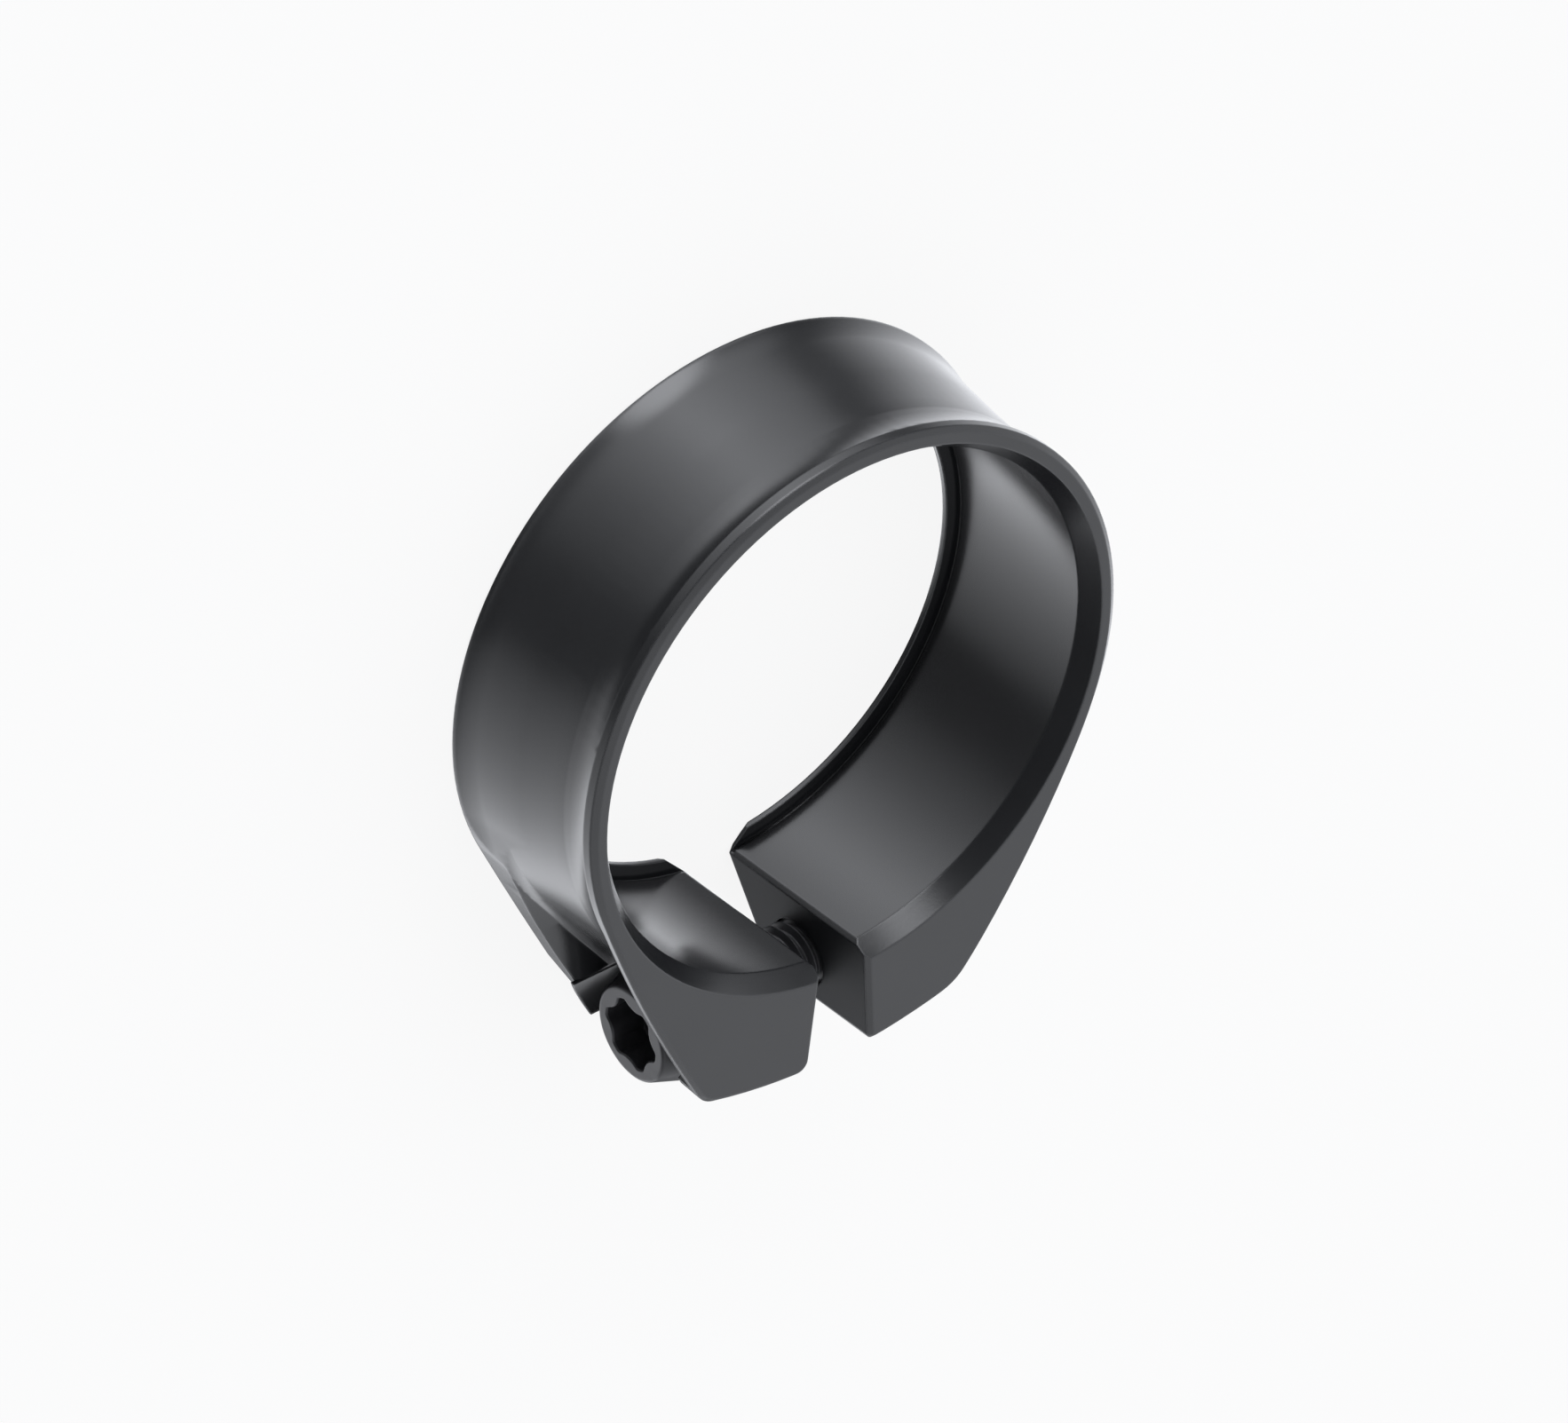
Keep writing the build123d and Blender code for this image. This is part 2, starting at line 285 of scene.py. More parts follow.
def black_anodised_aluminium(sizes, colours):
    """Satin black anodised aluminium, blasted and then dyed.

    The dye leaves a deep neutral black and the oxide layer gives it a soft wide gloss that
    brightens at a low angle. The edges are smoother, and a painted highlight makes their colour a
    little paler.
    """
    material = bpy.data.materials.new("black_anodised_aluminium")
    tree = empty_tree(material)
    coordinates = add_node(tree, "ShaderNodeTexCoord")
    place = coordinates.outputs["Object"]
    # Soft clouds of dye, and the blasted grain, which is too fine to show and is drawn coarser
    cloud = add_node(tree, "ShaderNodeTexNoise", Vector=place, Scale=1 / sizes.cloud, Detail=3.0)
    grain = add_node(tree, "ShaderNodeTexNoise", Vector=place, Scale=1 / sizes.blast_grain,
                     Detail=2.0)
    # Turning lines run round the bore, so their pattern reads only the radius and the height.
    # They too are drawn coarser than they are
    parts = add_node(tree, "ShaderNodeSeparateXYZ", Vector=place)
    flat = add_node(tree, "ShaderNodeCombineXYZ", X=parts.outputs["X"], Y=parts.outputs["Y"])
    reach = add_node(tree, "ShaderNodeVectorMath", {"operation": "LENGTH"}, in_0=flat.outputs[0])
    turned = add_node(tree, "ShaderNodeCombineXYZ", X=reach.outputs["Value"],
                      Z=parts.outputs["Z"])
    lines = add_node(tree, "ShaderNodeTexNoise", Vector=turned.outputs[0],
                     Scale=1 / sizes.tool_lines, Detail=1.0)
    # Colour: a painted highlight makes the edges paler, and the clouds of dye make it a little
    # paler at random
    soft, edge = rounded_edges(tree, sizes.edge, 0.82, 1.0)
    dye = add_node(tree, "ShaderNodeMapRange", Value=cloud.outputs[0], **NOISE_SPAN,
                   To_Min=0.0, To_Max=0.12)
    paler = add_node(tree, "ShaderNodeMath", {"operation": "MAXIMUM"},
                    in_0=edge, in_1=dye.outputs[0])
    shade = add_node(tree, "ShaderNodeMix", {"data_type": "RGBA"}, in_0=paler.outputs[0],
                     in_6=(*colours.anodise, 1.0), in_7=(*colours.anodise_edge_highlight, 1.0))
    gloss = add_node(tree, "ShaderNodeMapRange", Value=cloud.outputs[0], **NOISE_SPAN,
                     To_Min=0.2, To_Max=0.24)
    rough = add_node(tree, "ShaderNodeMath", {"operation": "MULTIPLY_ADD"},
                     in_0=edge, in_1=-0.05, in_2=gloss.outputs[0])
    # The slit's two faces are sawn, not blasted: duller, and told by where they stand and the way
    # they face
    across = add_node(tree, "ShaderNodeSeparateXYZ", Vector=coordinates.outputs["Normal"])
    across = add_node(tree, "ShaderNodeMath", {"operation": "ABSOLUTE"}, in_0=across.outputs["X"])
    across = add_node(tree, "ShaderNodeMapRange", Value=across.outputs[0],
                      From_Min=SAWN_FACING[0], From_Max=SAWN_FACING[1])
    lugs = add_node(tree, "ShaderNodeMapRange", Value=parts.outputs["Y"],
                    From_Min=SAWN_REACH[0], From_Max=SAWN_REACH[1])
    sawn = add_node(tree, "ShaderNodeMath", {"operation": "MULTIPLY"},
                    in_0=across.outputs[0], in_1=lugs.outputs[0])
    rough = add_node(tree, "ShaderNodeMath", {"operation": "MULTIPLY_ADD"},
                     in_0=sawn.outputs[0], in_1=0.3, in_2=rough.outputs[0])
    sheen = add_node(tree, "ShaderNodeMapRange", Value=sawn.outputs[0], To_Min=0.5, To_Max=0.12)
    relief = add_node(tree, "ShaderNodeMath", {"operation": "MULTIPLY_ADD"},
                      in_0=lines.outputs[0], in_1=0.5, in_2=grain.outputs[0])
    bump = add_node(tree, "ShaderNodeBump", Strength=0.05, Distance=0.05 * MM,
                    Height=relief.outputs[0], Normal=soft)
    surface = add_node(tree, "ShaderNodeBsdfPrincipled", Base_Color=shade.outputs[2],
                       Roughness=rough.outputs[0], Metallic=0.0, IOR=1.7,
                       Specular_IOR_Level=sheen.outputs[0], Normal=bump.outputs[0])
    add_node(tree, "ShaderNodeOutputMaterial", Surface=surface.outputs[0])
    return material


def oiled_black_oxide_steel(sizes, colours):
    """Machined alloy steel with an oiled black oxide layer.

    The layer is a dark mineral skin under a film of oil, so it is grey in the shade, and the steel
    shines through it only a little. It is mottled by the oil, and its crests and rims are paler,
    partly from rubbed wear and partly as a painted glint.
    """
    material = bpy.data.materials.new("oiled_black_oxide_steel")
    tree = empty_tree(material)
    place = add_node(tree, "ShaderNodeTexCoord").outputs["Object"]
    mottle = add_node(tree, "ShaderNodeTexNoise", Vector=place, Scale=1 / sizes.oil_mottle,
                      Detail=4.0)
    # The oxide's grain is too fine to show and is drawn coarser
    grain = add_node(tree, "ShaderNodeTexNoise", Vector=place, Scale=1 / sizes.oxide_grain,
                     Detail=2.0)
    # Edges and crests go paler: partly rubbed wear, partly a painted glint; the oil adds a real
    # mottle
    soft, edge = rounded_edges(tree, sizes.screw_edge, 0.85, 0.8)
    oil = add_node(tree, "ShaderNodeMapRange", Value=mottle.outputs[0],
                   From_Min=0.35, From_Max=0.75, To_Min=0.0, To_Max=0.3)
    paler = add_node(tree, "ShaderNodeMath", {"operation": "MAXIMUM"},
                    in_0=edge, in_1=oil.outputs[0])
    shade = add_node(tree, "ShaderNodeMix", {"data_type": "RGBA"}, in_0=paler.outputs[0],
                     in_6=(*colours.oxide, 1.0), in_7=(*colours.oxide_worn, 1.0))
    rough = add_node(tree, "ShaderNodeMapRange", Value=mottle.outputs[0], **NOISE_SPAN,
                     To_Min=0.3, To_Max=0.42)
    bump = add_node(tree, "ShaderNodeBump", Strength=0.08, Distance=0.04 * MM,
                    Height=grain.outputs[0], Normal=soft)
    surface = add_node(tree, "ShaderNodeBsdfPrincipled", Base_Color=shade.outputs[2],
                       Roughness=rough.outputs[0], Metallic=0.2, Normal=bump.outputs[0])
    add_node(tree, "ShaderNodeOutputMaterial", Surface=surface.outputs[0])
    return material


def blackened_spring_steel(sizes, colours):
    """Stamped washer of blackened steel: dark, dull, and faintly streaked by rolling."""
    material = bpy.data.materials.new("blackened_spring_steel")
    tree = empty_tree(material)
    place = add_node(tree, "ShaderNodeTexCoord").outputs["Object"]
    stretch = add_node(tree, "ShaderNodeMapping", {"vector_type": "POINT"}, Vector=place,
                       Scale=(1.0, 0.12, 1.0))
    streak = add_node(tree, "ShaderNodeTexNoise", Vector=stretch.outputs[0],
                      Scale=1 / sizes.streak, Detail=3.0)
    shade = add_node(tree, "ShaderNodeMix", {"data_type": "RGBA"}, in_0=streak.outputs[0],
                     in_6=(*colours.washer, 1.0), in_7=(*colours.oxide_worn, 1.0))
    rough = add_node(tree, "ShaderNodeMapRange", Value=streak.outputs[0], **NOISE_SPAN,
                     To_Min=0.38, To_Max=0.5)
    bump = add_node(tree, "ShaderNodeBump", Strength=0.06, Distance=0.04 * MM,
                    Height=streak.outputs[0])
    surface = add_node(tree, "ShaderNodeBsdfPrincipled", Base_Color=shade.outputs[2],
                       Roughness=rough.outputs[0], Metallic=1.0, Normal=bump.outputs[0])
    add_node(tree, "ShaderNodeOutputMaterial", Surface=surface.outputs[0])
    return material


def matt_white_card(sizes, colours):
    """Matt white card, faintly fibrous.

    Seen directly or in a reflection it is mostly plain white, and it keeps a pale soft shadow.
    """
    material = bpy.data.materials.new("matt_white_card")
    tree = empty_tree(material)
    place = add_node(tree, "ShaderNodeTexCoord").outputs["Object"]
    # The fibres are too fine to show and are drawn coarser
    fibre = add_node(tree, "ShaderNodeTexNoise", Vector=place, Scale=1 / sizes.fibre, Detail=2.0)
    bump = add_node(tree, "ShaderNodeBump", Strength=0.02, Distance=0.05 * MM,
                    Height=fibre.outputs[0])
    card = add_node(tree, "ShaderNodeBsdfDiffuse", Color=(*colours.floor, 1.0),
                    Normal=bump.outputs[0])
    plain = add_node(tree, "ShaderNodeEmission", Color=(1.0, 1.0, 1.0, 1.0), Strength=1.0)
    rays = add_node(tree, "ShaderNodeLightPath").outputs
    seen = rays["Is Camera Ray"]
    for ray in ("Is Glossy Ray", "Is Transmission Ray"):
        seen = add_node(tree, "ShaderNodeMath", {"operation": "MAXIMUM"},
                        in_0=seen, in_1=rays[ray]).outputs[0]
    share = add_node(tree, "ShaderNodeMath", {"operation": "MULTIPLY"}, in_0=seen,
                     in_1=FLOOR_PLAIN)
    mix = add_node(tree, "ShaderNodeMixShader", in_0=share.outputs[0],
                   in_1=card.outputs[0], in_2=plain.outputs[0])
    add_node(tree, "ShaderNodeOutputMaterial", Surface=mix.outputs[0])
    return material


def wrapped_grid(rows, around, reverse=False):
    """Point numbers of a grid that closes across its rows, those beside them, and its faces.

    With reverse the faces are wound the other way.
    """
    here = np.arange(rows * around).reshape(rows, around)
    beside = np.roll(here, -1, axis=1)
    corners = [here[:-1], here[1:], beside[1:], beside[:-1]]
    if reverse:
        corners = [corners[0], *corners[:0:-1]]
    return here, beside, np.stack(corners, axis=-1).reshape(-1, 4).tolist()


def carried_profile(points, reverse=False):
    """Points and faces of a profile carried along a path, with its two ends closed.

    The points come as a grid of steps along the path and places round the profile.
    """
    here, _, faces = wrapped_grid(*points.shape[:2], reverse)
    ends = [here[0], here[-1][::-1]]
    if reverse:
        ends = [end[::-1] for end in ends]
    return points.reshape(-1, 3), faces + [end.tolist() for end in ends]


def lobe_outline(sizes, turn):
    """Radius of the six-lobe socket at each angle.

    A ray meets either the outer circle or the near side of the closest valley circle, which stands
    outside it. The smaller of the two is taken, and a soft minimum rounds the corner between them.
    """
    stand = sizes.lobe_radius - sizes.valley_depth + sizes.valley_radius
    sector = math.pi / 3
    off = (turn - sizes.lobe_turn) % sector - sector / 2
    inside = sizes.valley_radius ** 2 - (stand * np.sin(off)) ** 2
    valley = stand * np.cos(off) - np.sqrt(np.clip(inside, 0.0, None))
    # A ray that misses the valley gets a radius that is too large to count
    valley = np.where(inside > 0.0, valley, 2 * sizes.lobe_radius)
    soft = sizes.lobe_round
    return -soft * np.log(np.exp(-valley / soft) + np.exp(-sizes.lobe_radius / soft))


def screw_rows(sizes):
    """Depth behind the head's front and radius of the screw's skin, on rows along it.

    Each row has the angles round the screw. The rows start at the socket's floor, climb its lobed
    wall, cross the front, go down the head and along the thread to the tip. The thread's height is
    a trapezoid wave of depth divided by pitch plus the share of a turn, so its crests are
    right-hand helices, and it fades in over one pitch.
    """
    turn = np.linspace(0.0, 2 * math.pi, sizes.around, endpoint=False)
    lobe = lobe_outline(sizes, turn)
    even = np.ones_like(turn)
    taper = math.atan2(sizes.head_radius - sizes.front_radius, sizes.rim_height)
    flat = sizes.front_radius - sizes.head_round * math.tan((math.pi / 2 - taper) / 2)
    depths, radii = [], []

    def rows(depth, radius):
        depths.append(np.atleast_1d(depth)[:, None] * even)
        radii.append(np.broadcast_to(radius, (len(np.atleast_1d(depth)), len(turn))))

    # Socket's floor and wall, its lead-in and the front around it. Shares close to an end keep the
    # edges crisp
    share = np.array([0.3, 0.6, 0.85, 0.97])
    rows(sizes.socket_depth + SOCKET_DISH * (1 - share), share[:, None] * lobe)
    rows(np.linspace(sizes.socket_depth - WALL_FOOT, sizes.lead_in, 5), lobe)
    share = np.array([0.97, 0.5, 0.08, 0.0])
    rows(sizes.lead_in * share, lobe + sizes.lead_in * (1 - share[:, None]))
    share = np.array([0.08, 0.5, 0.95])[:, None]
    rows(np.zeros(3), (1 - share) * (lobe + sizes.lead_in) + share * flat)
    # Rounded rim, taper, seat edge and underside
    bend = np.linspace(0.0, math.pi / 2 - taper, 6)
    rows(sizes.head_round * (1 - np.cos(bend)),
         (flat + sizes.head_round * np.sin(bend))[:, None])
    rows(sizes.rim_height + np.array([-RIM_BLEND, RIM_BLEND]),
         np.array([[sizes.head_radius - RIM_BLEND * math.tan(taper)], [sizes.head_radius]]))
    rows(sizes.head_height - np.array([SEAT_BEVEL, 0.0]),
         sizes.head_radius - np.array([[0.0], [SEAT_BEVEL]]))
    fillet = np.linspace(0.0, math.pi / 2, 5)
    rows(sizes.head_height + NECK_FILLET * (1 - np.cos(fillet)),
         (sizes.thread_radius + NECK_FILLET * (1 - np.sin(fillet)))[:, None])
    # Thread down to the bevelled tip, which two rows close towards its middle
    start = sizes.head_height + sizes.shank
    end = SCREW_HIGH.x - SCREW_LOW.x
    core = sizes.thread_radius - sizes.thread_depth
    count = int((end - start) / sizes.pitch * sizes.per_pitch)
    depth = np.linspace(start, end, count)[:, None]
    phase = (depth / sizes.pitch + turn / (2 * math.pi)) % 1.0
    wave = 1 - ROOT_SHARE - 2 * np.abs(phase - 0.5)
    wave = np.clip(wave / (1 - CREST_SHARE - ROOT_SHARE), 0.0, 1.0)
    grown = np.clip((depth - start) / sizes.pitch, 0.0, 1.0)
    thread = sizes.thread_radius - sizes.thread_depth * grown * (1 - wave)
    rows(depth[:, 0], np.minimum(thread, core + end - depth))
    rows(np.full(2, end), np.array([[0.66], [0.33]]) * core)
    return turn, np.vstack(depths), np.vstack(radii)


def screw_skin(sizes):
    """Points and faces of the closed screw.

    Its rows are wrapped round the axis, and a point at each end closes them.
    """
    turn, depth, radius = screw_rows(sizes)
    x = SCREW_HIGH.x - depth
    y = SCREW_Y + radius * np.cos(turn)
    z = SCREW_Z + radius * np.sin(turn)
    ends = np.array([[SCREW_HIGH.x - sizes.socket_depth - SOCKET_DISH, SCREW_Y, SCREW_Z],
                     [SCREW_LOW.x, SCREW_Y, SCREW_Z]])
    points = np.vstack([np.stack([x, y, z], axis=-1).reshape(-1, 3), ends])
    here, beside, faces = wrapped_grid(*depth.shape)
    floor_end = np.full(len(turn), here.size)
    floor = np.stack([floor_end, here[0], beside[0]], axis=-1)
    tip = np.stack([floor_end + 1, beside[-1], here[-1]], axis=-1)
    return points, faces + floor.tolist() + tip.tolist()


def flange_bevel(sizes):
    """Points and faces of the wedge that bevels the lip flange between the ring and the screw head.

    A five-sided profile is carried along the waist's line: round the ring by the angle, then
    straight on along its tangent. Its sloping side falls from the flange's inner edge out to the
    lug's flank, which stands further out the further the line goes, and its tilt fades towards the
    screw head, so the bevel turns flat like a ruled surface.
    """
    way = np.linspace(*FLANGE_RUN, FLANGE_STEPS) * MM
    turn = sizes.waist_turn + np.minimum(way, 0.0) / sizes.waist_radius
    out = np.stack([np.cos(turn), np.sin(turn)])
    along = np.stack([-np.sin(turn), np.cos(turn)])
    line = sizes.waist_radius * out + np.maximum(way, 0.0) * along
    # Distance out to the flank, which is straight and touches the rim at its own angle
    flank = np.array([[math.cos(sizes.flank_turn)], [math.sin(sizes.flank_turn)]])
    reach = (sizes.rim_radius - (line * flank).sum(axis=0)) / (out * flank).sum(axis=0)
    # The bevel ends above the lugs' slope, which rises with the distance past its start
    edge = line + reach * out
    past = edge[1] * math.cos(SLOPE_TURN) - edge[0] * math.sin(SLOPE_TURN) - SLOPE_START
    lift = np.clip(past * math.tan(LUG_SLOPE), 0.0, None)
    inner = np.full_like(way, sizes.flange_inset)
    tilt = sizes.flange_tilt * np.clip((FLANGE_FLAT - way) / FLANGE_FLAT, LEAST_TILT, 1.0)
    top = np.full_like(way, sizes.flange_top)
    foot = np.maximum(lift + sizes.flange_foot, top - (reach - inner) * np.tan(tilt))
    beyond = reach + FLANGE_OUT
    above = np.full_like(way, sizes.flange_top + FLANGE_UP)
    off = np.stack([inner, reach + FLANGE_OVERLAP, beyond, beyond, inner], axis=1)
    high = np.stack([top, foot, foot, above, above], axis=1)
    x = line[0][:, None] + off * out[0][:, None]
    y = line[1][:, None] + off * out[1][:, None]
    return carried_profile(np.stack([x, y, high], axis=-1))


def lip_sweep(sizes):
    """Points and faces of the cutter that leads the waist smoothly out to the lip's edge.

    Its inner side is turned about the bore: down from the waist it stands out by a straight slope,
    and near the lip a square term is added, so that it ends on the rim. At both lugs it is lifted
    clear of the part by a smooth step.
    """
    turn = np.radians(np.linspace(*LIP_TURN, LIP_STEPS))
    drop = np.concatenate([np.linspace(0.0, LIP_STRAIGHT, 5)[:-1],
                           np.linspace(LIP_STRAIGHT, LIP_FOOT, 14)]) * MM
    curved = np.clip(drop - LIP_STRAIGHT * MM, 0.0, None)
    out = LIP_START + LIP_SLOPE * drop + LIP_FLARE * curved ** 2
    head_side = (turn - math.radians(LIP_HEAD_END)) / math.radians(LIP_HEAD_FADE)
    thread_side = (math.radians(LIP_THREAD_END) - turn) / math.radians(LIP_THREAD_FADE)
    ease = np.clip(np.maximum(head_side, thread_side), 0.0, 1.0)
    lift = LIP_LIFT * ease ** 2 * (3 - 2 * ease)
    beyond = np.full((len(turn), 2), sizes.rim_radius + LIP_OUT)
    radius = np.hstack([sizes.waist_radius + out + lift[:, None], beyond])
    high = LIP_TOP - np.concatenate([drop, drop[[-1, 0]]])
    x = radius * np.cos(turn)[:, None]
    y = radius * np.sin(turn)[:, None]
    points = np.stack([x, y, np.broadcast_to(high, x.shape)], axis=-1)
    return carried_profile(points, reverse=True)


def pocket_sill(sizes):
    """Points and faces of the sill that closes the pocket's floor over the lug's slope.

    A four-sided section between two radii is turned about the screw's axis below it. Its inner end
    stands in the pocket and its outer end follows the lug's flank, whose place along the screw
    falls in proportion to y.
    """
    turn = np.radians(np.linspace(*SILL_TURN, SILL_STEPS))
    radius = np.array([0.0, 0.0, 1.0, 1.0]) * sizes.sill_wall + sizes.pocket_radius
    y = SCREW_Y + np.cos(turn)[:, None] * radius
    z = SCREW_Z + np.sin(turn)[:, None] * radius
    flank = (sizes.rim_radius - y * math.sin(sizes.flank_turn)) / math.cos(sizes.flank_turn)
    x = np.where(np.array([True, False, False, True]), SILL_START, flank + SILL_PROUD)
    return carried_profile(np.stack([x, y, z], axis=-1), reverse=True)


def new_skin(name, points, faces):
    """A mesh of the given points and faces."""
    mesh = bpy.data.meshes.new(name)
    mesh.from_pydata(points.tolist(), [], faces)
    if mesh.validate():
        raise RuntimeError(f"the skin of {name} has faces that can't be used")
    return mesh


def shade_smooth(mesh, sharp):
    """Shades a mesh smooth, except at the edges where it turns by more than the sharp angle."""
    mesh.polygons.foreach_set("use_smooth", np.ones(len(mesh.polygons), bool))
    mesh.set_sharp_from_angle(angle=sharp)


def add_object(scene, name, data):
    """Links a new object to the scene, at the origin."""
    item = bpy.data.objects.new(name, data)
    scene.collection.objects.link(item)
    return item


def joined_copy(solid):
    """Copy of a solid's skin whose triangles share their points, without materials or normals."""
    blank = solid.copy()
    skin = bmesh.new()
    skin.from_mesh(blank)
    bmesh.ops.remove_doubles(skin, verts=skin.verts, dist=JOIN_WITHIN)
    skin.to_mesh(blank)
    skin.free()
    if "custom_normal" in blank.attributes:
        blank.attributes.remove(blank.attributes["custom_normal"])
    blank.materials.clear()
    return blank


def cut_skin(context, piece, shapes):
    """The piece's skin with the closed shapes cut from it in order, as a new mesh."""
    cutters = []
    for name, (points, faces) in shapes.items():
        cutters.append(add_object(context.scene, name, new_skin(name, points, faces)))
        cut = piece.modifiers.new(name, "BOOLEAN")
        cut.operation = "DIFFERENCE"
        cut.solver = "EXACT"
        cut.object = cutters[-1]
    context.view_layer.update()
    shown = piece.evaluated_get(context.evaluated_depsgraph_get())
    mesh = bpy.data.meshes.new_from_object(shown)
    piece.modifiers.clear()
    for cutter in cutters:
        bpy.data.meshes.remove(cutter.data)
    if len(mesh.polygons) < FEWEST_FACES:
        raise RuntimeError(f"the cuts have emptied {piece.name}")
    return mesh


def corner_table(mesh):
    """Place of each face corner as one whole number, with the corner's normal and its face's.

    The number packs the three coordinates in micrometres, 20 bits apart.
    """
    spots = np.empty((len(mesh.vertices), 3), np.float32)
    mesh.vertices.foreach_get("co", spots.ravel())
    spots = np.rint(spots / MICRON).astype(np.int64) @ np.array([1 << 40, 1 << 20, 1])
    point = np.empty(len(mesh.loops), np.int32)
    mesh.loops.foreach_get("vertex_index", point)
    corner = np.empty((len(mesh.loops), 3), np.float32)
    mesh.corner_normals.foreach_get("vector", corner.ravel())
    sides = np.empty(len(mesh.polygons), np.int32)
    mesh.polygons.foreach_get("loop_total", sides)
    face = np.empty((len(mesh.polygons), 3), np.float32)
    mesh.polygons.foreach_get("normal", face.ravel())
    return spots[point], corner, np.repeat(face, sides, axis=0)


def solid_normals(solid, mesh):
    """Normals for a cut copy's corners, taken from the solid.

    Each corner gets the normal of the solid's corner at the same place whose face faces the same
    way. Corners that the cut made have no such partner and get a zero, which leaves them to plain
    smoothing.
    """
    place, normal, facing = corner_table(solid)
    spot, _, aim = corner_table(mesh)
    order = np.argsort(place, kind="stable")
    known, start, count = np.unique(place[order], return_index=True, return_counts=True)
    match = np.minimum(np.searchsorted(known, spot), len(known) - 1)
    # No cosine passes 2, so a corner at a new place finds no partner
    best = np.where(known[match] == spot, SAME_WAY, 2.0)
    chosen = np.zeros_like(aim)
    for step in range(count.max()):
        partner = order[np.minimum(start[match] + step, len(order) - 1)]
        agree = np.where(step < count[match], (facing[partner] * aim).sum(axis=1), -1.0)
        better = agree > best
        best = np.where(better, agree, best)
        chosen = np.where(better[:, None], normal[partner], chosen)
    return chosen


class OBJECT_OT_clamp_collar(bpy.types.Operator):
    """Smooths the collar's lip, bevels its flange, closes its pocket and anodises it satin black"""

    bl_idname = "object.clamp_collar"
    bl_label = "Finish Collar"

    def execute(self, context):
        scene = context.scene
        sizes = scene.clamp_sizes
        solid = frame["nodes"]["collar"].data
        finish = black_anodised_aluminium(sizes, scene.clamp_colours)
        # A copy of the solid's skin is cut, and keeps the solid's normals where it isn't cut
        blank = joined_copy(solid)
        collar = add_object(scene, "anodised_collar", blank)
        mesh = cut_skin(context, collar, {"lip_sweep": lip_sweep(sizes),
                                          "flange_bevel": flange_bevel(sizes)})
        collar.data = mesh
        bpy.data.meshes.remove(blank)
        mesh.name = "anodised_collar"
        mesh.materials.clear()
        mesh.materials.append(finish)
        shade_smooth(mesh, COLLAR_SHARP)
        mesh.normals_split_custom_set(solid_normals(solid, mesh).tolist())
        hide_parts("collar")
        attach(collar, "collar")

        sill_mesh = new_skin("pocket_sill", *pocket_sill(sizes))
        sill_mesh.materials.append(finish)
        shade_smooth(sill_mesh, COLLAR_SHARP)
        sill = add_object(scene, "pocket_sill", sill_mesh)
        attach(sill, "collar")
        return {"FINISHED"}


class OBJECT_OT_clamp_washer(bpy.types.Operator):
    """Gives the washer its blackened steel"""

    bl_idname = "object.clamp_washer"
    bl_label = "Finish Washer"

    def execute(self, context):
        scene = context.scene
        washer = frame["nodes"]["washer"]
        washer.data.materials.clear()
        washer.data.materials.append(blackened_spring_steel(scene.clamp_sizes, scene.clamp_colours))
        return {"FINISHED"}


class OBJECT_OT_clamp_screw(bpy.types.Operator):
    """Builds the clamp screw with its cut thread and six-lobe socket"""

    bl_idname = "object.clamp_screw"
    bl_label = "Build Screw"

    def execute(self, context):
        scene = context.scene
        mesh = new_skin("threaded_clamp_screw", *screw_skin(scene.clamp_sizes))
        shade_smooth(mesh, SCREW_SHARP)
        mesh.materials.append(oiled_black_oxide_steel(scene.clamp_sizes, scene.clamp_colours))
        screw = add_object(scene, "threaded_clamp_screw", mesh)
        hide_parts("clamp_screw")
        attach(screw, "clamp_screw")
        return {"FINISHED"}


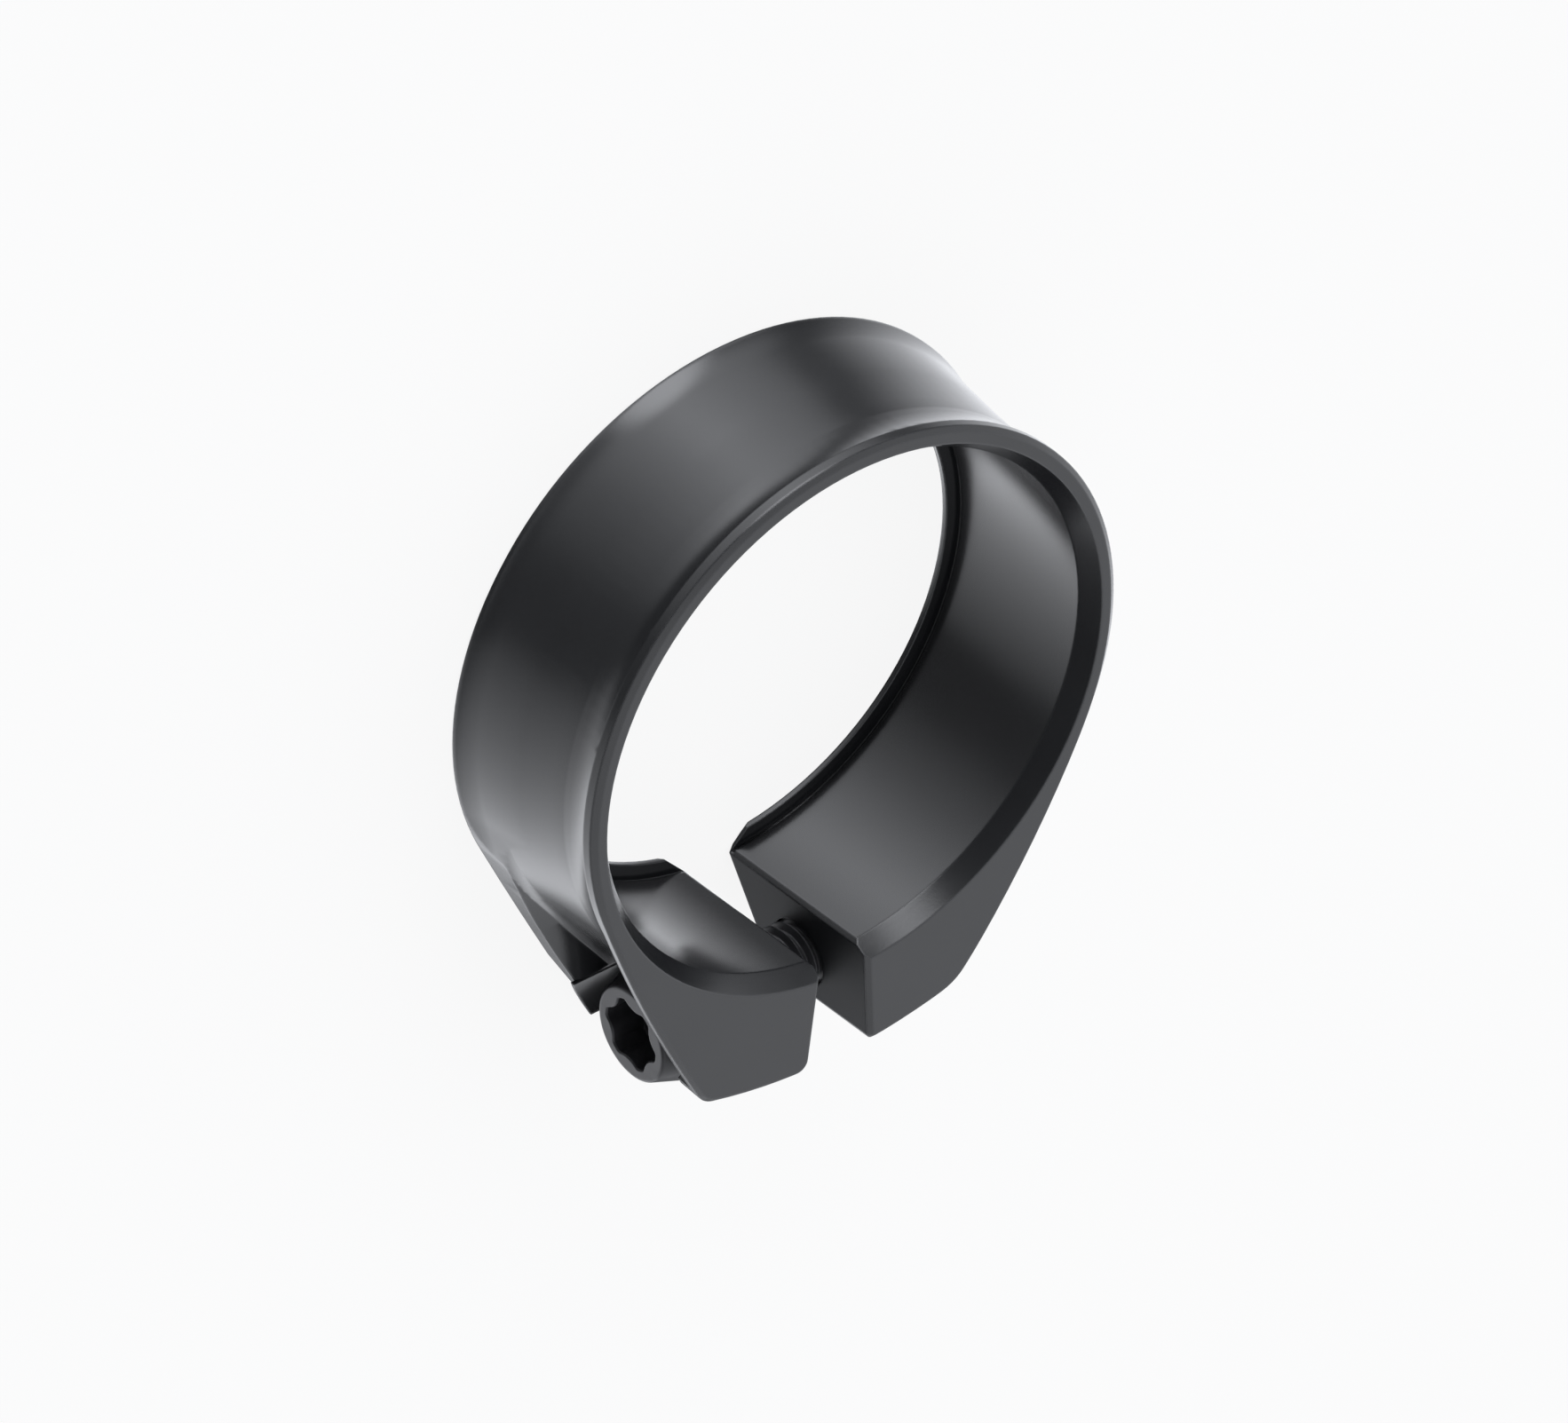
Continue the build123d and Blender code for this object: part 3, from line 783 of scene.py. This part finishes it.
def studio_world():
    """Soft studio: panels and dark gaps round the part, a softbox, a side lamp and a horizon line.

    The panels' brightness is a ramp over the angle round the vertical, held between two heights.
    The softbox overhead is a disc of directions round its aim with a soft edge, and the side lamp
    is an upright oval of directions round its own. Where they overlap, the brightest one counts.
    """
    world = bpy.data.worlds.new("studio")
    tree = empty_tree(world)
    aim = add_node(tree, "ShaderNodeTexCoord").outputs["Generated"]
    parts = add_node(tree, "ShaderNodeSeparateXYZ", Vector=aim)
    height = parts.outputs["Z"]
    fading = {"interpolation_type": "SMOOTHSTEP"}
    # Panels
    round_part = add_node(tree, "ShaderNodeMath", {"operation": "ARCTAN2"},
                          in_0=parts.outputs["Y"], in_1=parts.outputs["X"])
    share = add_node(tree, "ShaderNodeMapRange", Value=round_part.outputs[0],
                     From_Min=-math.pi, From_Max=math.pi)
    ramp = add_node(tree, "ShaderNodeValToRGB", Fac=share.outputs[0])
    stops = ramp.color_ramp.elements
    for turn, _ in PANELS[1:-1]:
        stops.new((turn + 180) / 360)
    for stop, (_, level) in zip(stops, PANELS):
        stop.color = (level / PANEL_PEAK,) * 3 + (1.0,)
    low = add_node(tree, "ShaderNodeMapRange", fading, Value=height,
                   From_Min=PANEL_LOW[0], From_Max=PANEL_LOW[1], To_Min=0.0, To_Max=PANEL_PEAK)
    high = add_node(tree, "ShaderNodeMapRange", fading, Value=height,
                    From_Min=PANEL_HIGH[0], From_Max=PANEL_HIGH[1], To_Min=1.0, To_Max=0.0)
    held = add_node(tree, "ShaderNodeMath", {"operation": "MULTIPLY"},
                    in_0=low.outputs[0], in_1=high.outputs[0])
    panels = add_node(tree, "ShaderNodeMath", {"operation": "MULTIPLY"},
                      in_0=ramp.outputs[0], in_1=held.outputs[0])
    # Softbox overhead
    facing = add_node(tree, "ShaderNodeVectorMath", {"operation": "DOT_PRODUCT"},
                      in_0=aim, in_1=OVERHEAD_AIM)
    overhead = add_node(tree, "ShaderNodeMapRange", fading, Value=facing.outputs["Value"],
                        From_Min=OVERHEAD_EDGE[0], From_Max=OVERHEAD_EDGE[1],
                        To_Min=OVERHEAD_LEVEL[0], To_Max=OVERHEAD_LEVEL[1])
    # Lamp at the side, which draws the streaks along the rims
    aside = add_node(tree, "ShaderNodeVectorMath", {"operation": "SUBTRACT"},
                     in_0=aim, in_1=SIDE_AIM)
    aside = add_node(tree, "ShaderNodeVectorMath", {"operation": "MULTIPLY"},
                     in_0=aside.outputs[0], in_1=SIDE_SHAPE)
    aside = add_node(tree, "ShaderNodeVectorMath", {"operation": "LENGTH"}, in_0=aside.outputs[0])
    side = add_node(tree, "ShaderNodeMapRange", fading, Value=aside.outputs["Value"],
                    From_Min=SIDE_EDGE[0], From_Max=SIDE_EDGE[1], To_Min=SIDE_LEVEL, To_Max=0.0)
    line = add_node(tree, "ShaderNodeMath", {"operation": "COMPARE"},
                    in_0=height, in_1=HORIZON, in_2=HORIZON_REACH)
    light = panels.outputs[0]
    for lamp in (overhead, line, side):
        light = add_node(tree, "ShaderNodeMath", {"operation": "MAXIMUM"},
                         in_0=light, in_1=lamp.outputs[0]).outputs[0]
    back = add_node(tree, "ShaderNodeBackground", Color=(*linear(PANEL_TINT), 1.0), Strength=light)
    add_node(tree, "ShaderNodeOutputWorld", Surface=back.outputs[0])
    return world


class OBJECT_OT_clamp_stage(bpy.types.Operator):
    """Sets the floor, the soft studio light and the camera"""

    bl_idname = "object.clamp_stage"
    bl_label = "Set Studio"

    def execute(self, context):
        scene = context.scene
        corners = np.array([(-1, -1, 0), (1, -1, 0), (1, 1, 0), (-1, 1, 0)]) * FLOOR_REACH
        mesh = new_skin("floor", corners + (0.0, 0.0, FLOOR_LEVEL), [(0, 1, 2, 3)])
        mesh.materials.append(matt_white_card(scene.clamp_sizes, scene.clamp_colours))
        floor = add_object(scene, "floor", mesh)
        # The satin walls reflect the studio's panels past the floor
        floor.visible_glossy = False

        scene.world = studio_world()

        # The camera looks across the ring from above the mouth, and is rolled so that the lugs are
        # down in the picture
        right = Vector(CAMERA_RIGHT).normalized()
        up = Vector(CAMERA_UP)
        up = (up - right * up.dot(right)).normalized()
        aim = Matrix((right, up, right.cross(up))).transposed().to_4x4()
        camera = bpy.data.cameras.new("camera")
        camera.lens = CAMERA_LENS
        camera.sensor_width = CAMERA_SENSOR
        camera.clip_start, camera.clip_end = CAMERA_CLIP
        seat = add_object(scene, "camera", camera)
        seat.matrix_world = Matrix.Translation(Vector(CAMERA_SEAT) * MM) @ aim
        scene.camera = seat
        scene.view_settings.view_transform = "Standard"
        return {"FINISHED"}


class VIEW3D_PT_clamp(bpy.types.Panel):
    """Lists the steps, sizes and colours of the clamp"""

    bl_label = "Seatpost Clamp"
    bl_idname = "VIEW3D_PT_clamp"
    bl_space_type = "VIEW_3D"
    bl_region_type = "UI"
    bl_category = "Clamp"

    def draw(self, context):
        for step in STEPS:
            self.layout.operator(step.bl_idname)
        for group in (context.scene.clamp_sizes, context.scene.clamp_colours):
            box = self.layout.box()
            for name in group.__annotations__:
                box.prop(group, name)


STEPS = (OBJECT_OT_clamp_collar, OBJECT_OT_clamp_washer, OBJECT_OT_clamp_screw,
         OBJECT_OT_clamp_stage)
CLASSES = (ClampSizes, ClampColours, *STEPS, VIEW3D_PT_clamp)


def register():
    for item in CLASSES:
        bpy.utils.register_class(item)
    bpy.types.Scene.clamp_sizes = PointerProperty(type=ClampSizes)
    bpy.types.Scene.clamp_colours = PointerProperty(type=ClampColours)


def unregister():
    del bpy.types.Scene.clamp_colours
    del bpy.types.Scene.clamp_sizes
    for item in reversed(CLASSES):
        bpy.utils.unregister_class(item)


def main():
    register()
    bpy.ops.object.clamp_collar()
    bpy.ops.object.clamp_washer()
    bpy.ops.object.clamp_screw()
    bpy.ops.object.clamp_stage()


if __name__ == "__main__":
    main()
